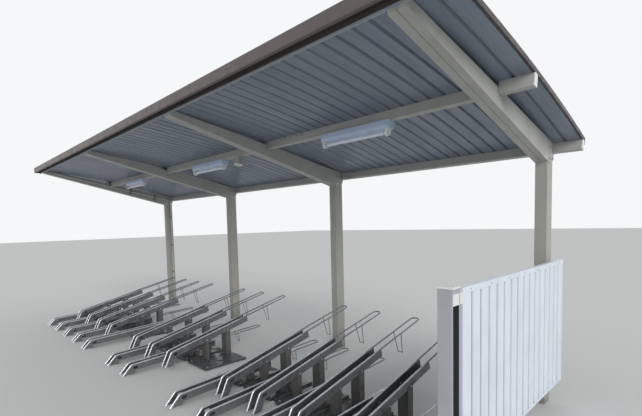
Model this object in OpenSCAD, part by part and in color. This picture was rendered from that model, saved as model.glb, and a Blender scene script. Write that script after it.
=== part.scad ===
// Cantilever bike shelter: three bays, curved ribbed roof, fixed two-level racks.
// Millimetres, +Z up. X runs along the shelter with the right-hand end at +X,
// Y runs to the back, and the origin is on the foot of the right-hand post.

/* [Shelter] */

// which piece to draw

// distance between posts along the shelter
bay_pitch = 2250; // [1800:10:3000]

// how far the purlins run past the end posts
overhang = 246; // [100:2:500]

/* [Posts] */

// post width along the shelter
post_width = 90; // [60:5:150]

// post depth front to back
post_depth = 125; // [80:5:200]

// wall of the posts
post_wall = 3.2; // [2:0.2:6]

// height of the beam's underside at the post's front face
beam_seat = 1950; // [1700:10:2400]

/* [Roof line] */

// place of the rear purlin's top, front to back
rear_y = 62; // [40:1:150]

// height of the rear purlin's top
rear_z = 2102; // [1900:1:2400]

// place of the deck's front edge
front_y = -2049; // [-2600:1:-1200]

// height of the deck's front edge
front_z = 2477; // [2200:1:2900]

// how far the deck's arc rises over its chord
deck_rise = 36; // [10:1:120]

/* [Beams] */

// side plate of a beam
beam_plate = 4; // [2:0.5:8]

// depth of a beam at its front end
beam_tip_depth = 52; // [40:1:120]

// slit between the two halves on the underside
beam_seam = 3; // [1:0.5:8]

/* [Purlins] */

// purlin height
purlin_height = 75; // [50:5:150]

// purlin width
purlin_width = 45; // [30:5:80]

// purlin wall
purlin_wall = 2.3; // [1.6:0.1:4]

// place of the middle purlin's front face
mid_y = -1047; // [-1500:1:-500]

/* [Deck] */

// number of raised ribs along the whole roof
rib_count = 66; // [20:1:120]

// rib width at its foot
rib_foot = 25; // [15:1:50]

// rib width at its top
rib_top = 9; // [6:1:40]

// rib height
rib_height = 15; // [10:1:50]

// deck sheet thickness
deck_sheet = 1; // [0.6:0.1:2]

// distance from an end post to the outermost rib
rib_end = 134; // [60:1:240]

/* [Fascia and verge] */

// height of the front fascia
fascia_height = 77; // [50:1:150]

// depth of the front fascia
fascia_depth = 75; // [40:1:150]

// folded sheet of the trims
trim_sheet = 2; // [1:0.2:4]

// radius of the fascia's rounded lower edge
fascia_round = 12; // [4:1:25]

// width of the fascia's lip below its front face
fascia_lip = 16; // [8:1:40]

// width of a verge trim
verge_width = 16; // [8:1:80]

// height of a verge trim over the deck's underside
verge_height = 30; // [20:1:80]

// drop of the drip lip at the roof's low edge
eave_drop = 22; // [8:1:60]

/* [Lights] */

// length of a light fitting
light_length = 690; // [400:5:1300]

// width of a light fitting at its top
light_width = 80; // [60:1:220]

// depth of a light fitting's body
light_depth = 60; // [50:1:100]

// tube diameter
tube_d = 28; // [15:1:38]

// gap between a fitting's body and its tube
tube_gap = 13; // [4:1:40]

// shift of a fitting from the middle of its bay
light_shift = 50; // [-500:5:500]

/* [Side screen] */

// outer face of the screen from the end post's centre
screen_x = 130; // [100:1:300]

// front end of the screen
screen_front = -1690; // [-2200:5:-800]

// back end of the screen
screen_back = 62; // [-100:1:200]

// height of the screen
screen_height = 980; // [600:5:1100]

// thickness of the screen
screen_thick = 34; // [24:1:60]

// height of the screen's top rail
screen_rail = 32; // [20:1:80]

// height of the screen's bottom rail
screen_sill = 26; // [15:1:80]

// folded sheet of the screen's rails
screen_fold = 2; // [1:0.5:4]

// depth of the grooves in the screen's sheet
screen_groove = 14; // [6:1:20]

// side of the short front post
short_post = 80; // [50:1:120]

// height of the short front post
short_post_height = 1180; // [600:5:1500]

// wall of the short front post
short_post_wall = 4; // [2:0.5:6]

/* [Racks] */

// distance between neighbouring wheel trays
tray_pitch = 228; // [150:1:400]

// clear width of a wheel tray between its walls
tray_inside = 80; // [40:1:100]

// depth of a wheel tray below its rods' axes
tray_depth = 68; // [25:1:90]

// tray sheet thickness
tray_sheet = 3; // [1:0.5:5]

// rod that edges each tray and forms its hoop
hoop_rod = 14; // [6:1:20]

// bend of the rod over the nose, at its axis
nose_bend = 45; // [20:5:80]

// height of a rack's base pan
base_height = 25; // [15:1:60]

// gap between neighbouring base pans
base_gap = 68; // [2:1:90]

// drop of the wire stirrup under a high tray's rods
high_stirrup = 190; // [60:5:250]

// drop of the wire stirrup under a low tray's rods
low_stirrup = 112; // [40:2:130]

// height of the slot through a tray's sides behind the nose
nose_slot = 28; // [8:1:32]

/* [Hidden] */

$fn = 48;

// Roof line: an arc through the rear purlin's top and the deck's front edge.
run = [front_y - rear_y, front_z - rear_z];
chord = norm(run);
deck_radius = chord * chord / (8 * deck_rise) + deck_rise / 2;
arc_y = (front_y + rear_y) / 2 + (deck_rise - deck_radius) * run[1] / chord;
arc_z = (front_z + rear_z) / 2 - (deck_rise - deck_radius) * run[0] / chord;
function roof_z(y) = arc_z + sqrt(pow(deck_radius, 2) - pow(y - arc_y, 2));
function roof_tilt(y) = -asin((y - arc_y) / deck_radius);
function roof_angle(y) = acos((y - arc_y) / deck_radius);
function chord_z(y) = rear_z + (y - rear_y) * run[1] / run[0];

// Along the shelter: four posts, three bays.
bays = 3;
left_x = -bays * bay_pitch;
beam_width = post_width + 2 * beam_plate;
row_right = overhang;
row_left = left_x - overhang;
cap_plate = 6;
verge_right = overhang + cap_plate;
verge_left = left_x - verge_right;
deck_right = verge_right - verge_width;
deck_left = left_x - deck_right;
rib_pitch = (rib_end * 2 + bays * bay_pitch) / (rib_count - 1);
ribs_per_sheet = rib_count / 3;
beam_rear = rear_y + purlin_width - 2;
eave_y = beam_rear + 17;

// Clearance under the deck, so that flat tops stay below its arc.
skin = 0.1;

// Fascia.
rail_front = front_y - 6;
fascia_front = rail_front - fascia_depth;
fascia_low = front_z - 24;

// Racks: places of a tray's bends, measured on the axes of its two rods.
upper_tip = [-1845, 60];
upper_nose = [-1775, 205];
upper_change = [-820, 425];
upper_end = [-180, 572];
lower_tip = [-2190, 12];
lower_nose = [-2100, 106];
lower_change = [-1130, 153];
lower_end = [-430, 187];
rod_out = tray_inside / 2 + tray_sheet / 2;
tray_outside = tray_inside + 2 * tray_sheet;

// Gap at a bend's ends, so that a rod's lengths stay separate solids.
joint = 0.05;
base_front = -1540;
base_back = -1030;
start_right = 2.63 * tray_pitch;
start_middle = 3.46 * tray_pitch;
start_left = 1.51 * tray_pitch;
upper_right = -start_right;
upper_count_right = 4;
upper_middle = -bay_pitch - start_middle;
upper_count_middle = 3;
upper_left = -2 * bay_pitch - start_left;
upper_count_left = 4;
front_leg = [-1375, 38];
rear_leg = [-1122, 64];

// A profile drawn in the Y-Z plane, made thick along X from x0 by t.
module side_plate(x0, t) {
    translate([x0, 0, 0])
        rotate([90, 0, 90])
            linear_extrude(height = t)
                children();
}

// A section drawn as [radius, X], swept along the roof's arc from y1 back to y0.
module roof_sweep(y0, y1) {
    translate([0, arc_y, arc_z])
        rotate([90, 0, 90])
            rotate([0, 0, roof_angle(y0)])
                rotate_extrude(angle = roof_angle(y1) - roof_angle(y0), $fn = 720)
                    children();
}

// Places children on the deck's underside at y, tilted with the roof.
module on_roof(y) {
    translate([0, y, roof_z(y)])
        rotate([roof_tilt(y), 0, 0])
            children();
}

// Posts: hollow tubes closed by a foot, cut to the slope under the beam's top plate.
foot_plate = 12;

module post_at(x) {
    difference() {
        side_plate(x - post_width / 2, post_width)
            polygon([
                [-post_depth / 2, 0],
                [post_depth / 2, 0],
                [post_depth / 2, chord_z(post_depth / 2) - beam_plate],
                [-post_depth / 2, chord_z(-post_depth / 2) - beam_plate]
            ]);
        translate([x - post_width / 2 + post_wall, -post_depth / 2 + post_wall, foot_plate])
            cube([post_width - 2 * post_wall, post_depth - 2 * post_wall, rear_z]);
    }
}

// Outline of a beam's side plate: straight taper, rounded lap over the post top.
lap_z = beam_seat + post_depth / 2;
seam_rear = -post_depth / 2 - 40;

module beam_outline() {
    polygon([
        [front_y, chord_z(front_y) - beam_tip_depth],
        [front_y, chord_z(front_y) - skin],
        [beam_rear, chord_z(beam_rear) - skin],
        [beam_rear, chord_z(beam_rear) - beam_tip_depth - 8],
        [post_depth / 2, lap_z - 12],
        [-post_depth / 2, beam_seat]
    ]);
    translate([0, lap_z])
        circle(r = post_depth / 2 + 11.5);
}

// Inner void of a beam, closed at the front end and open where the post enters.
module beam_void() {
    polygon([
        [front_y + beam_plate, chord_z(front_y) - beam_tip_depth + beam_plate],
        [front_y + beam_plate, chord_z(front_y) - beam_plate],
        [beam_rear - beam_plate, chord_z(beam_rear) - beam_plate],
        [beam_rear - beam_plate, lap_z - post_depth],
        [-post_depth / 2, lap_z - post_depth],
        [-post_depth / 2, beam_seat + beam_plate]
    ]);
}

module beam_at(x) {
    difference() {
        side_plate(x - beam_width / 2, beam_width)
            beam_outline();
        side_plate(x - post_width / 2, post_width)
            beam_void();
        side_plate(x - beam_seam / 2, beam_seam)
            polygon([
                [front_y - 1, chord_z(front_y) - 2 * beam_tip_depth],
                [front_y - 1, chord_z(front_y) - beam_tip_depth / 2],
                [seam_rear, chord_z(seam_rear) - 2 * beam_tip_depth],
                [seam_rear, beam_seat - beam_tip_depth]
            ]);
    }
}

// One run of purlin between x0 and x1, with its top on the roof line at y.
module purlin_run(x0, x1, y) {
    on_roof(y)
        translate([x0, 0, -purlin_height - skin])
            difference() {
                cube([x1 - x0, purlin_width, purlin_height]);
                translate([-1, purlin_wall, purlin_wall])
                    cube([x1 - x0 + 2, purlin_width - 2 * purlin_wall, purlin_height - 2 * purlin_wall]);
            }
}

module purlin_row(y) {
    purlin_run(beam_width / 2, row_right, y);
    for (i = [0:bays - 1])
        purlin_run(-(i + 1) * bay_pitch + beam_width / 2, -i * bay_pitch - beam_width / 2, y);
    purlin_run(row_left, left_x - beam_width / 2, y);
}

module mid_purlin() {
    color("#8f9288")
        purlin_row(mid_y);
}

module rear_purlin() {
    color("#8f9288")
        purlin_row(rear_y);
}

// Angle cleats under the purlins' ends, bearing on the beams' sides.
cleat_long = 60;
cleat_sheet = 4;

module cleat(y, side) {
    mirror([side < 0 ? 1 : 0, 0, 0])
        on_roof(y)
            translate([beam_width / 2, 4, -purlin_height - skin - cleat_sheet]) {
                cube([cleat_long, purlin_width - 8, cleat_sheet]);
                translate([0, 0, -26])
                    cube([cleat_sheet, purlin_width - 8, 26]);
            }
}

module purlin_cleats() {
    color("#8a8d84")
        for (i = [0:bays])
            for (side = [-1, 1])
                translate([-i * bay_pitch, 0, 0])
                    cleat(mid_y, side);
}

module end_cap(x, y) {
    on_roof(y)
        translate([x, 0, -purlin_height - skin])
            cube([cap_plate, purlin_width, purlin_height]);
}

module purlin_end_caps() {
    color("#f2f3f2")
        for (y = [mid_y, rear_y]) {
            end_cap(row_right, y);
            end_cap(row_left - cap_plate, y);
        }
}

// Ribbed deck: the sheet's section as [radius, X], from x0 down to x1.
flank = (rib_foot - rib_top) / (2 * rib_height);
skin_out = deck_sheet * (sqrt(1 + flank * flank) - flank);
function rib_x(k) = rib_end - k * rib_pitch;
function rib_line(x, up, out) = [
    [deck_radius + up, x + rib_foot / 2 + out],
    [deck_radius + rib_height + up, x + rib_top / 2 + out],
    [deck_radius + rib_height + up, x - rib_top / 2 - out],
    [deck_radius + up, x - rib_foot / 2 - out]
];
function under_line(k0, k1) = [for (k = [k0:k1]) each rib_line(rib_x(k), 0, 0)];
function over_line(k0, k1) = [for (k = [k0:k1]) each rib_line(rib_x(k), deck_sheet, skin_out)];
function reversed(list) = [for (i = [len(list) - 1:-1:0]) list[i]];

module deck_sheets(k0, k1, x0, x1) {
    roof_sweep(eave_y, front_y)
        polygon(concat(
            [[deck_radius, x0]], under_line(k0, k1), [[deck_radius, x1]],
            [[deck_radius + deck_sheet, x1]], reversed(over_line(k0, k1)), [[deck_radius + deck_sheet, x0]]
        ));
}

module roof_deck_right() {
    color("#5f6a75")
        deck_sheets(0, ribs_per_sheet - 1, deck_right, rib_x(ribs_per_sheet - 0.5));
}

module roof_deck_middle() {
    color("#5f6a75")
        deck_sheets(ribs_per_sheet, 2 * ribs_per_sheet - 1, rib_x(ribs_per_sheet - 0.5), rib_x(2 * ribs_per_sheet - 0.5));
}

module roof_deck_left() {
    color("#5f6a75")
        deck_sheets(2 * ribs_per_sheet, 3 * ribs_per_sheet - 1, rib_x(2 * ribs_per_sheet - 0.5), deck_left);
}

// Flat rail that ties the beams' front ends and carries the deck's edge.
module front_rail() {
    color("#a9adb0")
        translate([verge_left + 4, rail_front, fascia_low - 14])
            cube([verge_right - verge_left - 8, 6, front_z - fascia_low + 14 - 1]);
}

// Folded fascia, open below: upright face with a rounded lower edge and a lip,
// a top flange over the deck's edge, and a back plate on the rail.
fascia_top = fascia_low + fascia_height;

function fascia_bend(r) = [
    for (a = [180:15:270]) [fascia_front + fascia_round, fascia_low + fascia_round] + r * [cos(a), sin(a)]
];

module fascia_outline() {
    polygon(concat(
        [[front_y + 14, fascia_top], [fascia_front, fascia_top]],
        fascia_bend(fascia_round),
        [[fascia_front + fascia_lip, fascia_low], [fascia_front + fascia_lip, fascia_low + trim_sheet]],
        reversed(fascia_bend(fascia_round - trim_sheet)),
        [
            [fascia_front + trim_sheet, fascia_top - trim_sheet],
            [rail_front - trim_sheet, fascia_top - trim_sheet],
            [rail_front - trim_sheet, fascia_low],
            [rail_front, fascia_low],
            [rail_front, fascia_top - trim_sheet],
            [front_y + 14, fascia_top - trim_sheet]
        ]
    ));
}

module fascia() {
    color("#6e6862")
        union() {
            side_plate(verge_left, verge_right - verge_left)
                fascia_outline();
            for (x = [verge_left, verge_right - trim_sheet])
                side_plate(x, trim_sheet)
                    polygon(concat(
                        [[front_y, fascia_low], [front_y, fascia_top], [fascia_front, fascia_top]],
                        fascia_bend(fascia_round)
                    ));
        }
}

// Verge trim: box edge outside the deck with a flange over the outermost pan.
module verge_section(x_in, out) {
    polygon([
        [deck_radius, x_in],
        [deck_radius, x_in + out * verge_width],
        [deck_radius + verge_height, x_in + out * verge_width],
        [deck_radius + verge_height, x_in - out * 30],
        [deck_radius + verge_height - trim_sheet, x_in - out * 30],
        [deck_radius + verge_height - trim_sheet, x_in + out * (verge_width - trim_sheet)],
        [deck_radius + trim_sheet, x_in + out * (verge_width - trim_sheet)],
        [deck_radius + trim_sheet, x_in]
    ]);
}

module verge_trims() {
    color("#3e3a37") {
        roof_sweep(eave_y, front_y)
            verge_section(deck_right, 1);
        roof_sweep(eave_y, front_y)
            verge_section(deck_left, -1);
    }
}

// Drip strip under the deck's low edge: a flange below the pans and a lip down.
module eave_trim() {
    flange = eave_y - beam_rear - 1;
    color("#5f6a75")
        on_roof(eave_y)
            side_plate(verge_left, verge_right - verge_left)
                polygon([
                    [-flange, -skin],
                    [0, -skin],
                    [0, -eave_drop],
                    [-trim_sheet, -eave_drop],
                    [-trim_sheet, -skin - trim_sheet],
                    [-flange, -skin - trim_sheet]
                ]);
}

// Light fittings under the middle purlin, one in each bay: a folded body that
// narrows downwards, with a lug at each end for the bare tube below it.
light_rim = 42;
light_narrow = 0.8 * light_width;
light_sheet = 1.5;
holder_long = 26;
holder_wide = 50;
holder_inset = 12;
tube_long = light_length - 2 * (holder_inset + holder_long);
tube_drop = light_depth + tube_gap + tube_d / 2;

module at_lights() {
    for (i = [0:bays - 1])
        translate([-(i + 0.5) * bay_pitch + light_shift, 0, 0])
            on_roof(mid_y)
                translate([0, purlin_width / 2, -purlin_height - skin])
                    children();
}

module body_outline(wall) {
    polygon([
        [-light_width / 2 + wall, -wall],
        [light_width / 2 - wall, -wall],
        [light_width / 2 - wall, -light_rim + wall / 2],
        [light_narrow / 2 - wall / 2, -light_depth + wall],
        [-light_narrow / 2 + wall / 2, -light_depth + wall],
        [-light_width / 2 + wall, -light_rim + wall / 2]
    ]);
}

module light_bodies() {
    color("#dfe6ee")
        at_lights()
            difference() {
                side_plate(-light_length / 2, light_length)
                    body_outline(0);
                side_plate(-light_length / 2 + light_sheet, light_length - 2 * light_sheet)
                    body_outline(light_sheet);
            }
}

module light_holders() {
    color("#e9ecef")
        at_lights()
            for (x = [-tube_long / 2 - holder_long, tube_long / 2])
                side_plate(x, holder_long) {
                    translate([-holder_wide / 2, -tube_drop])
                        square([holder_wide, tube_drop - light_depth]);
                    translate([0, -tube_drop])
                        circle(d = holder_wide);
                }
}

module light_tubes() {
    color("#fbfcff")
        at_lights()
            translate([-tube_long / 2, 0, -tube_drop])
                rotate([0, 90, 0])
                    cylinder(d = tube_d, h = tube_long);
}

// Light sensor on a folded box bracket beside the second post: the bracket's
// front wall runs up over the purlin's face.
sensor_x = -bay_pitch - 468;
sensor_wide = 76;
sensor_deep = 64;
sensor_drop = 76;
sensor_lap = 42;
sensor_wall = 2.5;

module sensor_bracket() {
    color("#b7b1a0")
        on_roof(mid_y)
            translate([sensor_x - sensor_wide / 2, -sensor_wall, -purlin_height - skin - sensor_drop]) {
                difference() {
                    cube([sensor_wide, sensor_deep, sensor_drop]);
                    translate([sensor_wall, sensor_wall, -1])
                        cube([sensor_wide, sensor_deep, sensor_drop] - sensor_wall * [2, 2, 1] + [0, 0, 1]);
                }
                cube([sensor_wide, sensor_wall, sensor_drop + sensor_lap]);
            }
}

module sensor_head() {
    color("#f4f4f1")
        on_roof(mid_y)
            translate([sensor_x, sensor_deep / 2 - sensor_wall, -purlin_height - skin - sensor_drop - 15]) {
                cylinder(d = 92, h = 9);
                translate([0, 0, 9])
                    cylinder(d = 62, h = 6);
            }
}

// Conduit along the left-hand beam, round a bend and down its post.
conduit_d = 22;
conduit_bend = 60;
conduit_x = left_x + beam_width / 2 + conduit_d / 2;
conduit_start = [front_y + 149, chord_z(front_y + 149) - 25];
conduit_turn = [20, chord_z(20) - 79];
conduit_fall = atan2(conduit_start[1] - conduit_turn[1], conduit_turn[0] - conduit_start[0]);
conduit_tangent = conduit_bend * tan((90 - conduit_fall) / 2);
conduit_centre = conduit_turn - [conduit_bend, conduit_tangent];
conduit_joint = conduit_centre + conduit_bend * [sin(conduit_fall), cos(conduit_fall)];

module conduit() {
    color("#cfd0cc")
        union() {
            translate([conduit_x, conduit_turn[0], 0])
                cylinder(d = conduit_d, h = conduit_centre[1] - joint);
            translate([conduit_x, conduit_centre[0], conduit_centre[1]])
                rotate([90, 0, 90])
                    rotate_extrude(angle = 90 - conduit_fall)
                        translate([conduit_bend, 0])
                            circle(d = conduit_d);
            translate([conduit_x, conduit_joint[0], conduit_joint[1]])
                rotate([90 - conduit_fall, 0, 0])
                    translate([0, 0, joint])
                        cylinder(d = conduit_d, h = norm(conduit_start - conduit_joint) - joint);
        }
}

strap_wide = 16;
strap_thick = 2;
strap_reach = 52;
function conduit_z(y) = conduit_start[1] - (y - conduit_start[0]) * tan(conduit_fall);

module saddle() {
    difference() {
        union() {
            circle(d = conduit_d + 2 * strap_thick);
            translate([-conduit_d / 2, -strap_reach])
                square([strap_thick, 2 * strap_reach]);
        }
        circle(d = conduit_d);
        translate([-2 * conduit_d, -conduit_d])
            square([1.5 * conduit_d + skin, 2 * conduit_d]);
    }
}

module conduit_straps() {
    color("#2b2c2d") {
        for (part = [0.32, 0.59, 0.87])
            translate([conduit_x, conduit_turn[0], part * beam_seat])
                difference() {
                    cylinder(d = conduit_d + 4, h = 20);
                    translate([0, 0, -1])
                        cylinder(d = conduit_d, h = 22);
                }
        for (y = [-714, -272])
            translate([conduit_x, y, conduit_z(y)])
                rotate([90 - conduit_fall, 0, 0])
                    linear_extrude(height = strap_wide)
                        saddle();
    }
}

// Side screen: grooved sheet held in a frame of folded channels, hung between
// the end post and a short channel post in front.
screen_back_x = screen_x - screen_thick;
screen_length = screen_back - screen_front;
screen_high = short_post_height - 5;
screen_low = screen_high - screen_height;
screen_stile = 16;

module screen_frame() {
    color("#e6edf0")
        translate([screen_back_x, screen_front, screen_low])
            difference() {
                cube([screen_thick, screen_length, screen_height]);
                translate([screen_fold, screen_fold, screen_fold])
                    cube([screen_thick - 2 * screen_fold, screen_length - 2 * screen_fold, screen_height - 2 * screen_fold]);
                translate([-1, screen_stile, screen_sill])
                    cube([screen_thick + 2, screen_length - 2 * screen_stile, screen_height - screen_sill - screen_rail]);
            }
}

screen_grooves = 16;
screen_sheet_wall = 1.5;

module screen_sheet() {
    long = screen_length - 2 * screen_fold;
    pitch = long / screen_grooves;
    face = [for (i = [0:screen_grooves - 1]) each [
        [-screen_groove, (i + 0.07) * pitch],
        [0, (i + 0.13) * pitch],
        [0, (i + 0.87) * pitch],
        [-screen_groove, (i + 0.93) * pitch]
    ]];
    inside = [for (p = face) p - [screen_sheet_wall, 0]];
    outline = concat([[-screen_groove, 0]], face, [[-screen_groove, long], [-screen_groove - screen_sheet_wall, long]],
                     reversed(inside), [[-screen_groove - screen_sheet_wall, 0]]);
    color("#dfe7ec")
        translate([screen_x - screen_fold, screen_front + screen_fold, screen_low + screen_fold])
            linear_extrude(height = screen_height - 2 * screen_fold)
                polygon(outline);
}

// Short post: a channel with its open side outwards, closed at the head.
short_x = screen_x - short_post;
short_y = screen_front - 30 - short_post;
short_head = 25;
short_lip = 4;

module screen_post() {
    slot = short_post - 2 * (short_post_wall + short_lip);
    color("#a8a49b")
        difference() {
            translate([short_x, short_y, 0])
                cube([short_post, short_post, short_post_height]);
            translate([short_x + short_post_wall, short_y + short_post_wall, -1])
                cube([short_post - 2 * short_post_wall, short_post - 2 * short_post_wall, short_post_height + 2]);
            translate([short_x + short_post / 2, short_y + (short_post - slot) / 2, -1])
                cube([short_post, slot, short_post_height - short_head + 1]);
        }
}

module screen_post_cap() {
    color("#f4f5f4")
        translate([short_x - 2, short_y - 2, short_post_height])
            cube([short_post + 4, short_post + 4, 10]);
}

// Fixings of the screen: an infill and a folded stub at the short post, folded
// spacers at the end post.
stub_high = 58;
stub_z = short_post_height - short_head - stub_high;
spacer_high = 90;
spacer_wide = 40;
spacer_sheet = 3;

module spacer(wide, deep, high) {
    difference() {
        cube([wide, deep, high]);
        translate([-1, spacer_sheet, spacer_sheet])
            cube([wide + 2, deep, high - 2 * spacer_sheet]);
    }
}

module screen_bracket() {
    slot = short_post - 2 * (short_post_wall + short_lip);
    color("#f0f2f2") {
        translate([screen_x - short_post_wall, short_y + (short_post - slot) / 2, stub_z])
            cube([short_post_wall, slot, stub_high]);
        translate([screen_x, short_y + short_post, stub_z])
            rotate([0, 0, 90])
                spacer(screen_front - short_y - short_post, screen_thick, stub_high);
        for (z = [screen_low + 60, screen_high - 60 - spacer_high])
            translate([post_width / 2, 0, z])
                spacer(screen_back_x - post_width / 2, spacer_wide, spacer_high);
    }
}

// Wheel tray: two rods run from the tip, over the nose and back to a hairpin,
// and a U of folded sheet hangs below them as far as the change point.
function heading(p, q) = atan2(q[1] - p[1], q[0] - p[0]);
function under_tip(tip, nose, depth) = tip + [depth / sin(heading(tip, nose)), 0];
function under_nose(tip, nose, change, depth) =
    let (a = heading(tip, nose), b = heading(nose, change))
    nose + depth / cos((a - b) / 2) * [sin((a + b) / 2), -cos((a + b) / 2)];
function under_change(nose, change, depth) =
    let (b = heading(nose, change))
    change + depth * [sin(b), -cos(b)];

module tray_outline(tip, nose, change, top, bottom) {
    polygon([
        under_tip(tip, nose, top),
        under_nose(tip, nose, change, top),
        under_change(nose, change, top),
        under_change(nose, change, bottom),
        under_nose(tip, nose, change, bottom),
        under_tip(tip, nose, bottom)
    ]);
}

module tray(x, tip, nose, change) {
    difference() {
        side_plate(x - tray_outside / 2, tray_outside)
            tray_outline(tip, nose, change, hoop_rod / 2, tray_depth);
        side_plate(x - tray_inside / 2, tray_inside)
            tray_outline(tip - [20, 20], nose, change + [20, 20 * tan(heading(nose, change))], -20, tray_depth - tray_sheet);
        side_plate(x - tray_outside, 2 * tray_outside)
            translate(nose)
                rotate(heading(nose, change))
                    translate([38, -tray_depth / 2 - 3]) {
                        square([nose_slot * 0.7, nose_slot], center = true);
                        for (side = [-1, 1])
                            translate([side * nose_slot * 0.35, 0])
                                circle(d = nose_slot);
                    }
    }
}

// A straight length of rod in the plane of x, from p to q.
module rod(x, p, q, d) {
    translate([x, p[0], p[1]])
        rotate([heading(p, q) - 90, 0, 0])
            cylinder(d = d, h = norm(q - p), $fn = 24);
}

// The hairpin: both rods with their nose bends, the loop behind and a stirrup.
module hoop(x, tip, nose, change, end, drop) {
    a = heading(tip, nose);
    b = heading(nose, end);
    cut = nose_bend * tan((a - b) / 2);
    before = nose - cut * [cos(a), sin(a)];
    after = nose + cut * [cos(b), sin(b)];
    centre = before + nose_bend * [sin(a), -cos(a)];
    loop = end - (rod_out + hoop_rod / 2) * [cos(b), sin(b)];
    for (side = [-1, 1])
        translate([side * rod_out, 0, 0])
            union() {
                rod(x, tip, before - joint * [cos(a), sin(a)], hoop_rod);
                translate([x, centre[0], centre[1]])
                    rotate([90, 0, 90])
                        rotate([0, 0, 90 + b])
                            rotate_extrude(angle = a - b, $fn = 60)
                                translate([nose_bend, 0])
                                    circle(d = hoop_rod, $fn = 24);
                rod(x, after + joint * [cos(b), sin(b)], loop - joint * [cos(b), sin(b)], hoop_rod);
            }
    translate([x, loop[0], loop[1]])
        rotate([b, 0, 0])
            rotate_extrude(angle = 180, $fn = 36)
                translate([rod_out, 0])
                    circle(d = hoop_rod, $fn = 24);
    stirrup(x, change + 0.48 * (end - change), drop);
}

// A straight wire between two points.
module wire(p, q, d) {
    way = q - p;
    translate(p)
        rotate([0, acos(way[2] / norm(way)), atan2(way[1], way[0])])
            cylinder(d = d, h = norm(way), $fn = 24);
}

// Wire stirrup welded under the rods, which stops the wheel: two wires that
// lean back and draw together, with a bar across their feet.
stirrup_wire = 7;
stirrup_bar = 6;
stirrup_width = 46;

module stirrup(x, top, drop) {
    foot = top + [0.23 * drop, -drop];
    for (side = [-1, 1]) {
        head_end = [x + side * rod_out, top[0], top[1]];
        foot_end = [x + side * stirrup_width / 2, foot[0], foot[1]];
        way = (foot_end - head_end) / norm(foot_end - head_end);
        wire(head_end, foot_end + stirrup_wire / 2 * way, stirrup_wire);
    }
    translate([x - stirrup_width / 2, foot[0], foot[1]])
        rotate([0, 90, 0])
            cylinder(d = stirrup_bar, h = stirrup_width, $fn = 24);
}

function upper_x(x0, k) = x0 - 2 * tray_pitch * k;
function lower_x(x0, k) = x0 + tray_pitch - 2 * tray_pitch * k;

module rack_trays(x0, uppers, first, last) {
    color("#7d858c") {
        for (k = [0:uppers - 1])
            tray(upper_x(x0, k), upper_tip, upper_nose, upper_change);
        for (k = [first:last])
            tray(lower_x(x0, k), lower_tip, lower_nose, lower_change);
    }
}

module rack_hoops(x0, uppers, first, last) {
    color("#a6acb1") {
        for (k = [0:uppers - 1])
            hoop(upper_x(x0, k), upper_tip, upper_nose, upper_change, upper_end, high_stirrup);
        for (k = [first:last])
            hoop(lower_x(x0, k), lower_tip, lower_nose, lower_change, lower_end, low_stirrup);
    }
}

// A leg is a folded channel whose flanges lap the tray's sides.
leg_lap = 22;

module leg(x, nose, change, place) {
    y0 = place[0];
    depth = place[1];
    slope = heading(nose, change);
    drop = tray_depth / cos(slope);
    under = [for (y = [y0, y0 + depth]) nose[1] + (y - nose[0]) * tan(slope) - drop];
    wide = tray_outside + 2 * tray_sheet;
    difference() {
        side_plate(x - wide / 2, wide)
            polygon([[y0, base_height], [y0 + depth, base_height], [y0 + depth, under[1] + leg_lap], [y0, under[0] + leg_lap]]);
        side_plate(x - tray_outside / 2, tray_outside)
            polygon([
                [y0 + tray_sheet, base_height - 1],
                [y0 + depth + 1, base_height - 1],
                [y0 + depth + 1, 2 * under[1]],
                [y0 + tray_sheet, 2 * under[1]]
            ]);
        side_plate(x - tray_outside / 2, tray_outside)
            polygon([
                [y0 - 1, under[0] - tan(slope)],
                [y0 + depth + 1, under[1] + tan(slope)],
                [y0 + depth + 1, 2 * under[1]],
                [y0 - 1, 2 * under[1]]
            ]);
    }
}

module rack_legs(x0, uppers, first, last) {
    color("#6f777d") {
        for (k = [0:uppers - 1]) {
            leg(upper_x(x0, k), upper_nose, upper_change, front_leg);
            leg(upper_x(x0, k), upper_nose, upper_change, rear_leg);
        }
        for (k = [first:last])
            leg(lower_x(x0, k), lower_nose, lower_change, front_leg);
    }
}

// Base pans, each for one low and one high tray: a plate with a rounded front
// lip and turned-down edges, raised off the floor on feet under its corners.
// Flat tie plates lie on the floor between neighbouring pans.
base_clear = 9;
base_round = 8;
base_foot = 40;
base_tie = 5;

function pan_bend(r) = [
    for (a = [90:15:180]) [base_front + base_round, base_height - base_round] + r * [cos(a), sin(a)]
];

module base_pan(left, right) {
    difference() {
        side_plate(left, right - left)
            polygon(concat(
                [[base_front, base_clear], [base_back, base_clear], [base_back, base_height]],
                pan_bend(base_round)
            ));
        side_plate(left + tray_sheet, right - left - 2 * tray_sheet)
            polygon(concat(
                [
                    [base_front + tray_sheet, base_clear - 1],
                    [base_back - tray_sheet, base_clear - 1],
                    [base_back - tray_sheet, base_height - tray_sheet]
                ],
                pan_bend(base_round - tray_sheet)
            ));
    }
    for (x = [left + tray_sheet, right - tray_sheet - base_foot])
        for (y = [base_front + 2 * base_round, base_back - tray_sheet - base_foot])
            translate([x, y, 0])
                cube([base_foot, base_foot, base_height - tray_sheet]);
}

module rack_base(x0, pans) {
    half = (tray_pitch - base_gap) / 2;
    color("#8b9298") {
        for (k = [0:pans - 1])
            union()
                base_pan(upper_x(x0, k) - half, lower_x(x0, k) + half);
        for (k = [1:pans - 1])
            translate([lower_x(x0, k) + half + 1, base_front + base_foot, 0])
                cube([base_gap - 2, base_back - base_front - base_foot, base_tie]);
    }
}

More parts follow.
